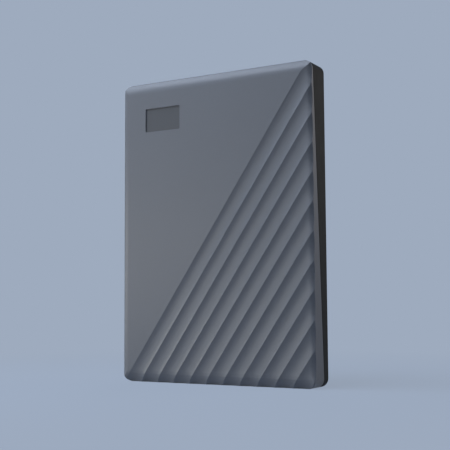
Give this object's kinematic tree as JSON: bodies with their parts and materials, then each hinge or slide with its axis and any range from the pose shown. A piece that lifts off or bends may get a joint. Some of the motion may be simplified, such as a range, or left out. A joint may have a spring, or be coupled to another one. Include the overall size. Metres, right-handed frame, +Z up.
{
  "type": "portable external hard drive",
  "caption": "Slim upright portable hard drive: a painted cover with diagonal flutes over a black base, a wide micro data port in its end and a spinning disk drive inside.",
  "frame": {"origin": "under the middle of the case, on the surface that it stands on", "axes": "+Z up along the case's length to the port end, -Y out of the fluted face, +Y out of the back with the feet, +X across to the right as seen from the front"},
  "size_m": [0.075, 0.0112, 0.1072],
  "materials": {
    "cover_paint": "satin paint",
    "base_plastic": "fine moulded texture",
    "foot_rubber": "matt",
    "bumper_rubber": "matt",
    "foam": "open foam",
    "foil": "foil",
    "clear_plastic": "clear",
    "port_steel": "plated",
    "port_plastic": "moulded",
    "gilt": "gilt",
    "board": "solder mask",
    "chip": "moulded",
    "led": "clear",
    "casting": "cast",
    "lid_steel": "satin",
    "gasket": "matt",
    "screw_steel": "zinc plated",
    "bearing_steel": "ground",
    "core_steel": "laminated",
    "copper": "enamelled wire",
    "magnet": "nickel plated",
    "platter": "polished",
    "turned_aluminium": "turned",
    "spring_steel": "bright",
    "ceramic": "ground",
    "coil_plastic": "moulded",
    "ramp_plastic": "moulded",
    "flex": "film",
    "filter": "felt"
  },
  "bodies": {
    "case": {"front_cover": "cover_paint", "base_shell": "base_plastic", "rubber_feet": "foot_rubber", "corner_bumper_plain_left": "bumper_rubber", "corner_bumper_plain_right": "bumper_rubber", "corner_bumper_port_left": "bumper_rubber", "corner_bumper_port_right": "bumper_rubber", "foam_pad": "foam", "shield_foil": "foil", "light_pipe": "clear_plastic", "usb_port_shell": "port_steel", "usb_port_insulator": "port_plastic", "usb_port_contacts": "gilt", "circuit_board": "board", "board_insulator": "foam", "board_screws": "screw_steel", "status_led": "led", "controller_chip": "chip", "motor_driver_chip": "chip", "memory_chip": "chip", "drive_casting": "casting", "drive_lid": "lid_steel", "lid_gasket": "gasket", "lid_screws": "screw_steel", "thrust_plate": "bearing_steel", "bearing_sleeve": "bearing_steel", "stator_core": "core_steel", "stator_coils": "copper", "pivot_shaft": "bearing_steel", "lower_yoke": "magnet", "upper_yoke": "magnet", "lower_magnet": "magnet", "upper_magnet": "magnet", "yoke_posts": "bearing_steel", "crash_stops": "bumper_rubber", "parking_ramp": "ramp_plastic", "ramp_screw": "screw_steel", "flex_bracket": "turned_aluminium", "flex_cable": "flex", "recirculation_filter": "filter", "desiccant_pack": "filter"},
    "disk_pack": {"spindle_shaft": "bearing_steel", "spindle_hub": "turned_aluminium", "rotor_magnet": "magnet", "platter": "platter", "disk_clamp": "spring_steel", "clamp_screws": "screw_steel"},
    "actuator": {"actuator_block": "turned_aluminium", "head_suspensions": "spring_steel", "head_sliders": "ceramic", "pivot_sleeve": "bearing_steel", "voice_coil": "copper", "coil_frame": "coil_plastic"}
  },
  "joints": [
    {"name": "spindle_spin", "type": "hinge", "parent": "case", "child": "disk_pack", "pos_m": [0, 0, 0.0374], "axis": [0, -1, 0], "continuous": true},
    {"name": "actuator_swing", "type": "hinge", "parent": "case", "child": "actuator", "pos_m": [-0.01198, 0, 0.0764], "axis": [0, 1, 0], "range_deg": [0, 31.36]}
  ]
}
